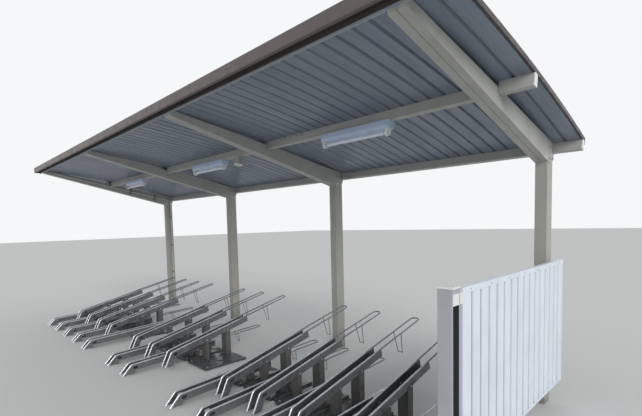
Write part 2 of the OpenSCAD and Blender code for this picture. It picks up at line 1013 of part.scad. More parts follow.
module post_1() { color("#a9aaa0") post_at(0); }
module post_2() { color("#a9aaa0") post_at(-bay_pitch); }
module post_3() { color("#a9aaa0") post_at(-2 * bay_pitch); }
module post_4() { color("#a9aaa0") post_at(-3 * bay_pitch); }
module beam_1() { color("#b0afa4") beam_at(0); }
module beam_2() { color("#b0afa4") beam_at(-bay_pitch); }
module beam_3() { color("#b0afa4") beam_at(-2 * bay_pitch); }
module beam_4() { color("#b0afa4") beam_at(-3 * bay_pitch); }

module rack_right_trays() { rack_trays(upper_right, upper_count_right, 0, 4); }
module rack_right_hoops() { rack_hoops(upper_right, upper_count_right, 0, 4); }
module rack_right_legs() { rack_legs(upper_right, upper_count_right, 0, 4); }
module rack_right_base() { rack_base(upper_right, 5); }
module rack_middle_trays() { rack_trays(upper_middle, upper_count_middle, 1, 2); }
module rack_middle_hoops() { rack_hoops(upper_middle, upper_count_middle, 1, 2); }
module rack_middle_legs() { rack_legs(upper_middle, upper_count_middle, 1, 2); }
module rack_middle_base() { rack_base(upper_middle, 3); }
module rack_left_trays() { rack_trays(upper_left, upper_count_left, 0, 4); }
module rack_left_hoops() { rack_hoops(upper_left, upper_count_left, 0, 4); }
module rack_left_legs() { rack_legs(upper_left, upper_count_left, 0, 4); }
module rack_left_base() { rack_base(upper_left, 5); }

post_1();
post_2();
post_3();
post_4();
beam_1();
beam_2();
beam_3();
beam_4();
mid_purlin();
rear_purlin();
purlin_cleats();
purlin_end_caps();
roof_deck_right();
roof_deck_middle();
roof_deck_left();
front_rail();
fascia();
verge_trims();
eave_trim();
light_bodies();
light_holders();
light_tubes();
sensor_bracket();
sensor_head();
conduit();
conduit_straps();
screen_sheet();
screen_frame();
screen_post();
screen_post_cap();
screen_bracket();
rack_right_trays();
rack_right_hoops();
rack_right_legs();
rack_right_base();
rack_middle_trays();
rack_middle_hoops();
rack_middle_legs();
rack_middle_base();
rack_left_trays();
rack_left_hoops();
rack_left_legs();
rack_left_base();
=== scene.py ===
import math

import bmesh
import bpy
from mathutils import Matrix, Vector


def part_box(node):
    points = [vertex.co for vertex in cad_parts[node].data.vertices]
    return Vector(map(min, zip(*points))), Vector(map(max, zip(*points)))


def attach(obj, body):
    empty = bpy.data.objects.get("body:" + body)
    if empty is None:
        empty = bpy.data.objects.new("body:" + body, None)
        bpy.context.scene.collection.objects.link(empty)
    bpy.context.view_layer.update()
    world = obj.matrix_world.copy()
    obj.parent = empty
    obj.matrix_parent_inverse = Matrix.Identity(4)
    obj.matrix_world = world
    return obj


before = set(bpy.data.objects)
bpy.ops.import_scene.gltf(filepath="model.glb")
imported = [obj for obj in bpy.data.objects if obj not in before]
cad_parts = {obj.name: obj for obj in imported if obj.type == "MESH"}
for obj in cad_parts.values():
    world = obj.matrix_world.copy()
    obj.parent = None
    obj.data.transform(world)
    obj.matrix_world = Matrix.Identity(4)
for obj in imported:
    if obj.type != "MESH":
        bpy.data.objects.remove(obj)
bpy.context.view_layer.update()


# Posts: four rectangular steel tubes with rounded corners, cut to the roof's slope and set
# in the ground. They are powder coated in a cream grey satin that holds rain streaks and,
# low down, a little splashed dirt.
post_nodes = ["post_1", "post_2", "post_3", "post_4"]
bay_count = 3
bay_pitch = 2.25
post_places = [-bay * bay_pitch for bay in range(bay_count + 1)]
post_corner = 0.004
splash_height = 0.35


def display(red, green, blue):
    """A colour as a screen shows it, 0 to 255, made the linear colour that a shader takes."""
    linear = [((part / 255 + 0.055) / 1.055) ** 2.4 for part in (red, green, blue)]
    return (*linear, 1.0)


def plug(tree, socket, value):
    """Gives a socket a value, or links it to another node's output."""
    if isinstance(value, bpy.types.NodeSocket):
        tree.links.new(value, socket)
    else:
        socket.default_value = value


def finish_named(name, **sockets):
    """A new material, its tree and its shader, with the plain sockets set."""
    finish = bpy.data.materials.new(name)
    finish.use_nodes = True
    shader = finish.node_tree.nodes["Principled BSDF"]
    for key, value in sockets.items():
        shader.inputs[key.replace("_", " ")].default_value = value
    return finish, finish.node_tree, shader


def own_place(tree):
    """Where a point of the object lies, in metres."""
    return tree.nodes.new("ShaderNodeTexCoord").outputs["Object"]


def along(tree, axis):
    """A point's place along one axis, in metres; along Z it is the height above the floor."""
    parts = tree.nodes.new("ShaderNodeSeparateXYZ")
    tree.links.new(own_place(tree), parts.inputs["Vector"])
    return parts.outputs[axis]


def cloudy(tree, per_metre, stretch=(1, 1, 1), detail=4.0, rough=0.55):
    """Noise from 0 to 1, with so many clouds to the metre, squeezed along each axis by stretch."""
    squeeze = tree.nodes.new("ShaderNodeMapping")
    squeeze.inputs["Scale"].default_value = stretch
    noise = tree.nodes.new("ShaderNodeTexNoise")
    noise.inputs["Scale"].default_value = per_metre
    noise.inputs["Detail"].default_value = detail
    noise.inputs["Roughness"].default_value = rough
    tree.links.new(own_place(tree), squeeze.inputs["Vector"])
    tree.links.new(squeeze.outputs["Vector"], noise.inputs["Vector"])
    return noise.outputs["Fac"]


def ranged(tree, value, low, high, to_low, to_high):
    """A value carried from one range to another and held inside it."""
    node = tree.nodes.new("ShaderNodeMapRange")
    node.interpolation_type = "SMOOTHSTEP"
    plug(tree, node.inputs["Value"], value)
    for key, number in zip(("From Min", "From Max", "To Min", "To Max"), (low, high, to_low, to_high)):
        node.inputs[key].default_value = number
    return node.outputs["Result"]


def combined(tree, first, second, kind="ADD"):
    """Two values added, multiplied or compared."""
    node = tree.nodes.new("ShaderNodeMath")
    node.operation = kind
    node.use_clamp = kind == "ADD"
    plug(tree, node.inputs[0], first)
    plug(tree, node.inputs[1], second)
    return node.outputs["Value"]


def tint(tree, amount, plain, marked):
    """One colour over another by an amount from 0 to 1."""
    node = tree.nodes.new("ShaderNodeMix")
    node.data_type = "RGBA"
    plug(tree, node.inputs[0], amount)
    plug(tree, node.inputs[6], plain)
    plug(tree, node.inputs[7], marked)
    return node.outputs[2]


def coloured(tree, shader, marks, clean, worn):
    """The shader's colour, from clean where the marks are 0 to worn where they are 1."""
    plug(tree, shader.inputs["Base Color"], tint(tree, marks, clean, worn))


def glossed(tree, shader, clouds, clear, dense, polished, rubbed):
    """The shader's roughness, polished where the clouds are clear and rubbed where they are dense."""
    plug(tree, shader.inputs["Roughness"], ranged(tree, clouds, clear, dense, polished, rubbed))


def overlay(finish, amount, colour):
    """Another colour over a finish by an amount from 0 to 1."""
    tree = finish.node_tree
    base = tree.nodes["Principled BSDF"].inputs["Base Color"]
    plug(tree, base, tint(tree, amount, base.links[0].from_socket, colour))


def grain(tree, shader, value, deep, strength=0.25):
    """Relief of that depth in metres on the shader's normal."""
    bump = tree.nodes.new("ShaderNodeBump")
    bump.inputs["Strength"].default_value = strength
    bump.inputs["Distance"].default_value = deep
    tree.links.new(value, bump.inputs["Height"])
    tree.links.new(bump.outputs["Normal"], shader.inputs["Normal"])


def powder_coat(name, colour, grime, shine=0.42, splash=0.0):
    """Satin powder coat: faint clouding, streaks where rain runs down, splashed dirt near the floor."""
    finish, tree, shader = finish_named(name, Specular_IOR_Level=0.45)
    clouds = ranged(tree, cloudy(tree, 5.0), 0.35, 0.7, 0.0, 0.14)
    streaks = ranged(tree, cloudy(tree, 11.0, (1, 1, 0.07), rough=0.5), 0.48, 0.76, 0.0, 0.16)
    marks = combined(tree, clouds, streaks)
    if splash:
        low = ranged(tree, along(tree, "Z"), 0.0, splash_height, splash, 0.0)
        patches = ranged(tree, cloudy(tree, 26.0), 0.3, 0.62, 0.2, 1.0)
        marks = combined(tree, marks, combined(tree, low, patches, "MULTIPLY"))
    coloured(tree, shader, marks, colour, grime)
    glossed(tree, shader, cloudy(tree, 18.0), 0.3, 0.7, shine - 0.05, shine + 0.1)
    grain(tree, shader, cloudy(tree, 420.0, detail=2.0), 0.0003)
    return finish


def dress(names, finish, corner=0.0):
    """Gives CAD nodes their finish, and rounds their sharp edges by a corner radius."""
    for name in names:
        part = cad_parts[name]
        for slot in part.material_slots:
            slot.material = finish
        if corner:
            meet = part.modifiers.new("meet", "WELD")
            meet.merge_threshold = 0.00002
            edge = part.modifiers.new("corner", "BEVEL")
            edge.width = corner
            edge.segments = 2
            edge.limit_method = "ANGLE"
            edge.angle_limit = math.radians(38)


post_cream = display(166, 165, 158)
post_rain = display(122, 119, 110)
post_coat = powder_coat("cream_grey_coat", post_cream, post_rain, splash=0.75)
dress(post_nodes, post_coat, post_corner)


# Beams: straight tapered cantilevers of two folded channels, coated as the posts are, with
# side plates that lap the post's head. Four galvanised bolts go through each plate.
beam_nodes = ["beam_1", "beam_2", "beam_3", "beam_4"]
beam_cream = display(178, 178, 173)
beam_rain = display(134, 132, 125)
beam_coat = powder_coat("beam_coat", beam_cream, beam_rain)
dress(beam_nodes, beam_coat, 0.0025)

lap_bolt_y = (-0.033, 0.033)
lap_bolt_z = (1.975, 2.05)
new_zinc = display(196, 199, 200)
old_zinc = display(140, 141, 138)


def galvanised(name, colour, dull, flake, polish, metal=0.8, old=0.3):
    """Hot-dip zinc: crystals that differ a little in brightness and gloss, under dull weathered patches."""
    finish, tree, shader = finish_named(name, Metallic=metal)
    crystals = tree.nodes.new("ShaderNodeTexVoronoi")
    crystals.inputs["Scale"].default_value = flake
    tree.links.new(own_place(tree), crystals.inputs["Vector"])
    parts = tree.nodes.new("ShaderNodeSeparateColor")
    tree.links.new(crystals.outputs["Color"], parts.inputs["Color"])
    crystal = parts.outputs["Red"]
    patches = ranged(tree, cloudy(tree, 9.0), 0.42, 0.68, 0.0, old)
    marks = combined(tree, patches, ranged(tree, crystal, 0.0, 1.0, 0.0, 0.1))
    coloured(tree, shader, marks, colour, dull)
    gloss = combined(tree, ranged(tree, crystal, 0.0, 1.0, polish - 0.02, polish + 0.03), patches)
    glossed(tree, shader, gloss, 0.0, 1.0, 0.0, 0.8)
    grain(tree, shader, cloudy(tree, 160.0, detail=3.0), 0.0004)
    return finish


def begin_edit(part):
    """One piece alone in edit mode, with nothing of it selected."""
    bpy.ops.object.select_all(action="DESELECT")
    part.select_set(True)
    bpy.context.view_layer.objects.active = part
    bpy.ops.object.mode_set(mode="EDIT")
    bpy.ops.mesh.select_all(action="DESELECT")


def pick(part, test):
    """Selects the faces of the piece in edit mode that pass a test."""
    bpy.ops.mesh.select_mode(type="FACE")
    shape = bmesh.from_edit_mesh(part.data)
    for face in shape.faces:
        face.select_set(test(face))
    bmesh.update_edit_mesh(part.data)


def stub(radius, high, sides, base=0.0):
    """A short upright bar of so many sides on that height, in edit mode with its top selected."""
    bpy.ops.object.select_all(action="DESELECT")
    middle = (0, 0, base + high / 2)
    bpy.ops.mesh.primitive_cylinder_add(vertices=sides, radius=radius, depth=high, location=middle)
    part = bpy.context.object
    begin_edit(part)
    pick(part, lambda face: face.normal.z > 0.9)
    return part


def step_up(drawn_in, risen):
    """The selected face drawn in on itself, then raised, or sunk where risen is below 0."""
    bpy.ops.mesh.inset(thickness=drawn_in)
    bpy.ops.transform.translate(value=(0, 0, risen))


def end_edit(part, smooth=30):
    """Back to object mode, with its place put into its mesh and its soft edges smoothed."""
    bpy.ops.object.mode_set(mode="OBJECT")
    bpy.ops.object.transform_apply(location=True, rotation=True, scale=True)
    bpy.ops.object.shade_smooth_by_angle(angle=math.radians(smooth))
    return part


def joined(parts, name):
    """Several pieces made one."""
    bpy.ops.object.select_all(action="DESELECT")
    for part in parts:
        part.select_set(True)
    bpy.context.view_layer.objects.active = parts[0]
    if len(parts) > 1:
        bpy.ops.object.join()
    whole = bpy.context.view_layer.objects.active
    whole.name = name
    whole.data.name = name
    return whole


def hex_bolt(across, head, washer, thick=0.0018, sides=24):
    """A bolt's chamfered head on a flat washer, seated on the plane below it, pointing up."""
    disc = stub(washer, thick, sides)
    step_up(thick * 0.6, thick * 0.35)
    end_edit(disc)
    nut = stub(across / math.sqrt(3), head, 6, thick)
    step_up(across * 0.09, head * 0.16)
    step_up(across * 0.2, head * 0.05)
    end_edit(nut)
    return joined([disc, nut], "bolt_pattern")


def facing(point, way):
    """The turn and place that put a piece's up side along a way at a point."""
    turn = Vector(way).to_track_quat("Z", "Y").to_matrix().to_4x4()
    return Matrix.Translation(Vector(point)) @ turn


def set_out(pattern, places, name, finish):
    """Copies of a pattern, each with its own mesh, put in their places and joined as one piece."""
    copies = []
    for place in places:
        copy = pattern.copy()
        copy.data = pattern.data.copy()
        copy.data.transform(place)
        bpy.context.collection.objects.link(copy)
        copies.append(copy)
    whole = joined(copies, name)
    whole.data.materials.clear()
    whole.data.materials.append(finish)
    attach(whole, "root")
    bpy.data.objects.remove(pattern)


bolt_zinc = galvanised("bolt_zinc", new_zinc, old_zinc, flake=240.0, polish=0.3)
lap_places = []
for name in beam_nodes:
    low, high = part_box(name)
    for x, way in ((low.x, -1), (high.x, 1)):
        for y in lap_bolt_y:
            for z in lap_bolt_z:
                lap_places.append(facing((x, y, z), (way, 0, 0)))
lap_bolt = hex_bolt(across=0.017, head=0.0075, washer=0.0125)
set_out(lap_bolt, lap_places, "lap_bolts", bolt_zinc)


# Purlins: square-edged steel tubes in lengths between the beams, coated as they are, with
# white plastic caps in their outer ends and angle cleats bolted to the beams below them.
rear_edge = Vector((0, 0.062, 2.102))
front_edge = Vector((0, -2.049, 2.477))
deck_rise = 0.036
roof_chord = front_edge - rear_edge
roof_radius = roof_chord.length_squared / (8 * deck_rise) + deck_rise / 2
chord_normal = Vector((0, roof_chord.z, -roof_chord.y)).normalized()
roof_centre = (rear_edge + front_edge) / 2 + chord_normal * (deck_rise - roof_radius)
mid_purlin_y = -1.047
purlin_height = 0.075
purlin_width = 0.045
cleat_thick = 0.004
cleat_bolt_out = 0.038
cleat_bolt_down = 0.013
cap_white = display(232, 233, 230)
cap_yellowed = display(176, 174, 166)


def roof_out(y):
    """The roof's outward direction at a place from front to back."""
    across = (y - roof_centre.y) / roof_radius
    return Vector((0, across, math.sqrt(1 - across * across)))


def on_roof(x, y, up=0.0):
    """A point of the deck's underside, or so far outside it."""
    out = roof_out(y)
    return Vector((x, roof_centre.y, roof_centre.z)) + out * (roof_radius + up)


dress(["mid_purlin", "rear_purlin", "purlin_cleats"], beam_coat, 0.0015)
cap_plastic, tree, shader = finish_named("white_cap_plastic", Specular_IOR_Level=0.5)
cap_marks = ranged(tree, cloudy(tree, 40.0), 0.4, 0.8, 0.0, 0.35)
coloured(tree, shader, cap_marks, cap_white, cap_yellowed)
glossed(tree, shader, cloudy(tree, 60.0), 0.2, 0.8, 0.35, 0.5)
dress(["purlin_end_caps"], cap_plastic, 0.0012)

purlin_down = -roof_out(mid_purlin_y)
purlin_back = Vector((0, -purlin_down.z, purlin_down.y))
purlin_middle = purlin_back * purlin_width / 2
cleat_under = on_roof(0, mid_purlin_y) + purlin_down * (purlin_height + cleat_thick) + purlin_middle
beam_low, beam_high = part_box("beam_1")
beam_half = (beam_high.x - beam_low.x) / 2
cleat_places = []
for x in post_places:
    for side in (-1, 1):
        foot = Vector((x + side * (beam_half + cleat_bolt_out), 0, 0)) + cleat_under
        cleat_places.append(facing(foot, purlin_down))
        flank = Vector((x + side * (beam_half + cleat_thick), 0, 0)) + cleat_under
        cleat_places.append(facing(flank + purlin_down * cleat_bolt_down, (side, 0, 0)))
cleat_bolt = hex_bolt(across=0.013, head=0.0055, washer=0.0095)
set_out(cleat_bolt, cleat_places, "cleat_bolts", bolt_zinc)


# Splice screws: each purlin is made of two lengths that meet beside the second post, over a
# sleeve inside the tube. A row of dark self-drilling screws holds the sleeve on both faces.
splice_end = -2.07
splice_step = 0.076
splice_screws = 6
splice_down = 0.017
screw_black = display(74, 72, 70)
screw_rust = display(104, 92, 80)
dark_screw, tree, shader = finish_named("dark_screw", Metallic=0.7, Roughness=0.45)
screw_marks = ranged(tree, cloudy(tree, 400.0), 0.35, 0.7, 0.0, 1.0)
coloured(tree, shader, screw_marks, screw_black, screw_rust)


def pan_screw(radius, thick):
    """A low rounded screw head with a recess for the driver, seated on the plane below it."""
    head = stub(radius, thick, 12)
    step_up(radius * 0.22, thick * 0.35)
    step_up(radius * 0.4, -thick * 0.4)
    return end_edit(head, 40)


splice_places = []
for number in range(splice_screws):
    x = splice_end + number * splice_step
    for y in (mid_purlin_y, rear_edge.y):
        down = -roof_out(y)
        back = Vector((0, -down.z, down.y))
        front_point = on_roof(x, y) + down * splice_down
        splice_places.append(facing(front_point, -back))
        splice_places.append(facing(front_point + back * purlin_width, back))
set_out(pan_screw(0.0055, 0.003), splice_places, "splice_screws", dark_screw)


# Deck: three ribbed sheets of coil-coated steel, rolled to the roof's arc and lapped side by
# side. Screws with sealing washers hold them through the ribs to each purlin and the rail.
pan_count = 65
rib_first = 0.134
rib_pitch = (2 * rib_first + bay_count * bay_pitch) / pan_count
rib_top = 0.016
screw_rows = (mid_purlin_y + 0.022, 0.084, -2.03)
deck_blue = display(132, 143, 158)
deck_dust = display(104, 113, 124)
deck_coat, tree, shader = finish_named("deck_coil_coat", Specular_IOR_Level=0.5, Metallic=0.15)
runs = ranged(tree, cloudy(tree, 30.0, (1, 0.04, 0.3), 5.0, 0.6), 0.42, 0.74, 0.0, 0.42)
fading = ranged(tree, cloudy(tree, 1.6, (1, 0.3, 1), 2.0), 0.3, 0.7, 0.0, 0.25)
coloured(tree, shader, combined(tree, runs, fading), deck_blue, deck_dust)
glossed(tree, shader, cloudy(tree, 12.0, (1, 0.1, 1)), 0.3, 0.7, 0.3, 0.46)
grain(tree, shader, cloudy(tree, 300.0, detail=2.0), 0.0003, 0.2)
dress(["roof_deck_right", "roof_deck_middle", "roof_deck_left"], deck_coat)

screw_places = []
for rib in range(pan_count + 1):
    for y in screw_rows:
        place = on_roof(rib_first - rib * rib_pitch, y, rib_top)
        screw_places.append(facing(place, roof_out(y)))
deck_screw = hex_bolt(across=0.008, head=0.004, washer=0.0075, thick=0.0015, sides=12)
set_out(deck_screw, screw_places, "deck_screws", bolt_zinc)


# Edges: a blue-grey rail under the deck's front, a folded bronze fascia before it, open below,
# and a bronze verge trim on each curved end, painted darker than the fascia as painted shade.
# Rivets hold the fascia's end plates and the trims.
rail_blue = display(170, 178, 188)
rail_rain = display(130, 136, 142)
rail_coat = powder_coat("rail_coat", rail_blue, rail_rain)
dress(["front_rail"], rail_coat)
bronze = display(94, 86, 85)
bronze_rain = display(74, 69, 67)
bronze_coat = powder_coat("bronze_coat", bronze, bronze_rain, shine=0.4)
dress(["fascia"], bronze_coat, 0.0012)
# The verge trims' bronze, painted darker than the fascia's as painted shade.
bronze_painted_shade = display(64, 57, 57)
bronze_rain_painted_shade = display(50, 46, 45)
verge_coat = powder_coat("bronze_painted_shade_coat", bronze_painted_shade, bronze_rain_painted_shade, shine=0.4)
dress(["verge_trims"], verge_coat, 0.0008)

trim_rivets = 6
trim_rivet_first = -1.93
trim_rivet_step = 0.38
trim_rivet_up = 0.01
plate_rivet_in = 0.018
plate_rivet_down = 0.012


def rivet(radius, high):
    """A blind rivet's domed head, pointing up."""
    head = stub(radius, high * 0.5, 12)
    step_up(radius * 0.25, high * 0.32)
    step_up(radius * 0.35, high * 0.18)
    return end_edit(head, 60)


rivet_places = []
verge_low, verge_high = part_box("verge_trims")
fascia_low, fascia_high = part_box("fascia")
for x, way in ((verge_low.x, -1), (verge_high.x, 1)):
    for number in range(trim_rivets):
        y = trim_rivet_first + number * trim_rivet_step
        rivet_places.append(facing(on_roof(x, y, trim_rivet_up), (way, 0, 0)))
for x, way in ((fascia_low.x, -1), (fascia_high.x, 1)):
    for y in (fascia_low.y + plate_rivet_in, fascia_high.y - plate_rivet_in):
        rivet_places.append(facing((x, y, fascia_high.z - plate_rivet_down), (way, 0, 0)))
set_out(rivet(0.0042, 0.0022), rivet_places, "trim_rivets", bronze_coat)


# Eave trim: one long folded angle under the roof's low edge, coated as the deck is, whose lip
# lets rain drip clear of the rear purlin. Small screws hold its flange up to the deck's pans.
dress(["eave_trim"], deck_coat, 0.0004)
eave_y = 0.122
eave_flange_middle = 0.009
eave_flange_under = 0.0021
pans_per_screw = 4
eave_down = -roof_out(eave_y)
eave_forward = Vector((0, eave_down.z, -eave_down.y))
eave_places = []
for pan in range(0, pan_count, pans_per_screw):
    x = rib_first - (pan + 0.5) * rib_pitch
    under = on_roof(x, eave_y) + eave_down * eave_flange_under + eave_forward * eave_flange_middle
    eave_places.append(facing(under, eave_down))
set_out(pan_screw(0.0042, 0.0022), eave_places, "eave_screws", bolt_zinc)


# Lights: folded white enamelled bodies hung under the middle purlin, with white plastic
# holders at both ends of a bare frosted tube. Aluminium caps close the glass. The enamel and
# the tube are tinted blue as painted reflected light.
# Enamel colours, tinted blue as painted reflected light.
enamel_white_painted_blue_light = display(198, 214, 240)
enamel_dust_painted_blue_light = display(158, 172, 194)
enamel = powder_coat("white_enamel_painted_blue_light", enamel_white_painted_blue_light, enamel_dust_painted_blue_light, shine=0.3)
dress(["light_bodies"], enamel, 0.0008)
dress(["light_holders"], cap_plastic, 0.003)
# Tube colours, tinted blue as painted reflected light.
glass_white_painted_blue_light = display(232, 238, 250)
glass_dust_painted_blue_light = display(200, 208, 222)
glass, tree, shader = finish_named("frosted_tube_painted_blue_light", Roughness=0.25, Specular_IOR_Level=0.6)
dust = ranged(tree, cloudy(tree, 20.0), 0.4, 0.8, 0.0, 0.3)
coloured(tree, shader, dust, glass_white_painted_blue_light, glass_dust_painted_blue_light)
dress(["light_tubes"], glass)

tube_drop = 0.087
tube_long = 0.614
tube_cap_long = 0.017
tube_cap_radius = 0.0147
tube_cap_rim = 0.0007
tube_cap_crown = 1.06
light_shift = 0.05
new_aluminium = display(206, 208, 210)
old_aluminium = display(176, 178, 180)
cap_metal, tree, shader = finish_named("tube_cap_metal", Metallic=0.9)
cap_rub = ranged(tree, cloudy(tree, 90.0, (0.2, 1, 1)), 0.3, 0.7, 0.22, 0.42)
coloured(tree, shader, cap_rub, new_aluminium, old_aluminium)
plug(tree, shader.inputs["Roughness"], cap_rub)
tube_cap = stub(tube_cap_radius, tube_cap_long, 32, -tube_cap_long / 2)
pick(tube_cap, lambda face: abs(face.normal.z) > 0.9)
bpy.ops.mesh.inset(thickness=tube_cap_rim)
bpy.ops.transform.resize(value=(1, 1, tube_cap_crown), center_override=(0, 0, 0))
end_edit(tube_cap, 40)
tube_axis = purlin_down * (purlin_height + tube_drop) + purlin_middle
cap_places = []
for bay in range(bay_count):
    middle = -(bay + 0.5) * bay_pitch + light_shift
    for side in (-1, 1):
        x = middle + side * (tube_long - tube_cap_long) / 2
        cap_places.append(facing(on_roof(x, mid_purlin_y) + tube_axis, (side, 0, 0)))
set_out(tube_cap, cap_places, "tube_caps", cap_metal)


# Sensor: a round white plastic head on a folded bracket that hangs from the middle purlin,
# with a milky domed lens pressed into its underside.
dress(["sensor_bracket"], beam_coat, 0.001)
dress(["sensor_head"], cap_plastic, 0.002)
lens_radius = 0.034
lens_deep = 0.004
lens_steps = ((0.003, 0.003), (0.005, 0.0028), (0.008, 0.0024), (0.009, 0.001))
lens_drop = 0.0085
lens_white = display(206, 208, 206)
lens_dust = display(176, 176, 170)
lens_plastic, tree, shader = finish_named("milky_lens", Roughness=0.3, Specular_IOR_Level=0.6)
lens_marks = ranged(tree, cloudy(tree, 90.0), 0.4, 0.8, 0.0, 0.4)
coloured(tree, shader, lens_marks, lens_white, lens_dust)
lens = stub(lens_radius, lens_deep, 40, -lens_deep / 2)
for drawn_in, risen in lens_steps:
    step_up(drawn_in, risen)
end_edit(lens, 60)
sensor_low, sensor_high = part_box("sensor_head")
lens_place = (sensor_low + sensor_high) / 2 + purlin_down * lens_drop
set_out(lens, [facing(lens_place, purlin_down)], "sensor_lens", lens_plastic)


# Conduit: a rigid grey pipe that brings the lights' supply along the left-hand beam and down
# its post, held close to the steel by black straps.
pipe_light = display(196, 197, 193)
pipe_rain = display(150, 147, 138)
pipe_grey = powder_coat("conduit_grey", pipe_light, pipe_rain, shine=0.45, splash=0.4)
dress(["conduit"], pipe_grey)
strap_dark = display(34, 35, 36)
strap_bleached = display(62, 62, 60)
strap_black, tree, shader = finish_named("black_strap", Specular_IOR_Level=0.4)
coloured(tree, shader, cloudy(tree, 50.0), strap_dark, strap_bleached)
glossed(tree, shader, cloudy(tree, 60.0), 0.2, 0.8, 0.45, 0.65)
dress(["conduit_straps"], strap_black)


# Side screen: a white grooved sheet in a frame of folded channels, fixed to the end post and
# to a short grey channel post with a thin white cap. The grooves are painted darker as painted
# shade, and the inside of the short post's channel is painted dark as painted shade.
screen_white = display(224, 232, 240)
screen_rain = display(176, 182, 188)
groove_depth = 0.014
groove_rim = 0.001
groove_painted_shade = display(116, 124, 136)
screen_coat = powder_coat("screen_coat", screen_white, screen_rain, shine=0.38)
dress(["screen_frame"], screen_coat, 0.0012)
sheet_coat = powder_coat("sheet_coat", screen_white, screen_rain, shine=0.38)
sheet_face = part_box("screen_sheet")[1].x
tree = sheet_coat.node_tree
# The grooves are painted darker towards their floors, as painted shade in the recesses.
sunk = ranged(tree, along(tree, "X"), sheet_face - groove_depth, sheet_face - groove_rim, 0.9, 0.0)
uneven = ranged(tree, cloudy(tree, 8.0, (1, 1, 0.3)), 0.2, 0.6, 0.7, 1.0)
overlay(sheet_coat, combined(tree, sunk, uneven, "MULTIPLY"), groove_painted_shade)
dress(["screen_sheet"], sheet_coat)

short_grey = display(172, 175, 180)
short_rain = display(130, 132, 134)
channel_painted_shade = display(66, 70, 74)
channel_wall = 0.0038
short_coat = powder_coat("short_post_coat", short_grey, short_rain, splash=0.7)
short_low, short_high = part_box("screen_post")
short_middle = (short_low + short_high) / 2
short_inner = (short_high.x - short_low.x) / 2 - channel_wall
tree = short_coat.node_tree
# The faces inside the channel are painted dark, as painted shade.
off_x = combined(tree, combined(tree, along(tree, "X"), short_middle.x, "SUBTRACT"), 0.0, "ABSOLUTE")
off_y = combined(tree, combined(tree, along(tree, "Y"), short_middle.y, "SUBTRACT"), 0.0, "ABSOLUTE")
in_channel = combined(tree, combined(tree, off_x, off_y, "MAXIMUM"), short_inner, "LESS_THAN")
overlay(short_coat, in_channel, channel_painted_shade)
dress(["screen_post"], short_coat, 0.0025)
dress(["screen_post_cap", "screen_bracket"], cap_plastic, 0.0012)

rail_screws = 7
rail_screw_end = 0.09
top_screw_down = 0.016
low_screw_up = 0.013
frame_low, frame_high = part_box("screen_frame")
rail_screw_step = (frame_high.y - frame_low.y - 2 * rail_screw_end) / (rail_screws - 1)
screen_places = []
for z in (frame_high.z - top_screw_down, frame_low.z + low_screw_up):
    for number in range(rail_screws):
        y = frame_low.y + rail_screw_end + number * rail_screw_step
        screen_places.append(facing((frame_high.x, y, z), (1, 0, 0)))
        screen_places.append(facing((frame_low.x, y, z), (-1, 0, 0)))
set_out(pan_screw(0.0045, 0.002), screen_places, "screen_screws", bolt_zinc)


# Racks: high and low wheel trays by turns, each a U of folded sheet under two bent rods that
# end in a hairpin with a stirrup. Folded legs stand on low pans. All is hot-dip galvanised: the
# trays' insides are painted dark, as dirt and painted shade, and tyres keep the rods bright,
# but not the hoops behind.
tray_pitch = 0.228
tray_inner = 0.040
tray_deep = 0.068
dirt_and_shade_past_wall = 0.001
high_nose = Vector((0, -1.775, 0.205))
high_change = Vector((0, -0.820, 0.425))
high_end = Vector((0, -0.180, 0.572))
low_nose = Vector((0, -2.100, 0.106))
low_change = Vector((0, -1.130, 0.153))
low_end = Vector((0, -0.430, 0.187))
rubbed_to = -1.02
dull_from = -0.80
group_starts = {
    "right": -2.63 * tray_pitch,
    "middle": -bay_pitch - 3.46 * tray_pitch,
    "left": -2 * bay_pitch - 1.51 * tray_pitch,
}
high_trays = {"right": range(0, 8, 2), "middle": range(0, 6, 2), "left": range(0, 8, 2)}
low_trays = {"right": range(-1, 9, 2), "middle": range(1, 5, 2), "left": range(-1, 9, 2)}
# The colour painted inside the trays, as dirt and painted shade.
tray_dirt_and_shade = display(62, 64, 66)


def tray_x(group, number):
    """The middle of a tray, by its number to the left of its group's first high tray."""
    return group_starts[group] - number * tray_pitch


def dirt_and_shade_inside(finish, start):
    """Dirt and painted shade over the part of a finish that lies within the trays, whose middles are a
    pitch apart.
    """
    tree = finish.node_tree
    off_first = combined(tree, along(tree, "X"), start, "SUBTRACT")
    off_middle = combined(tree, off_first, tray_pitch / 2, "PINGPONG")
    inside = combined(tree, off_middle, tray_inner + dirt_and_shade_past_wall, "LESS_THAN")
    film = ranged(tree, cloudy(tree, 16.0, (1, 0.35, 1)), 0.3, 0.62, 0.45, 0.92)
    amount = combined(tree, inside, film, "MULTIPLY")
    overlay(finish, amount, tray_dirt_and_shade)
    metal = tree.nodes["Principled BSDF"].inputs["Metallic"]
    plug(tree, metal, ranged(tree, amount, 0.0, 1.0, 0.6, 0.1))


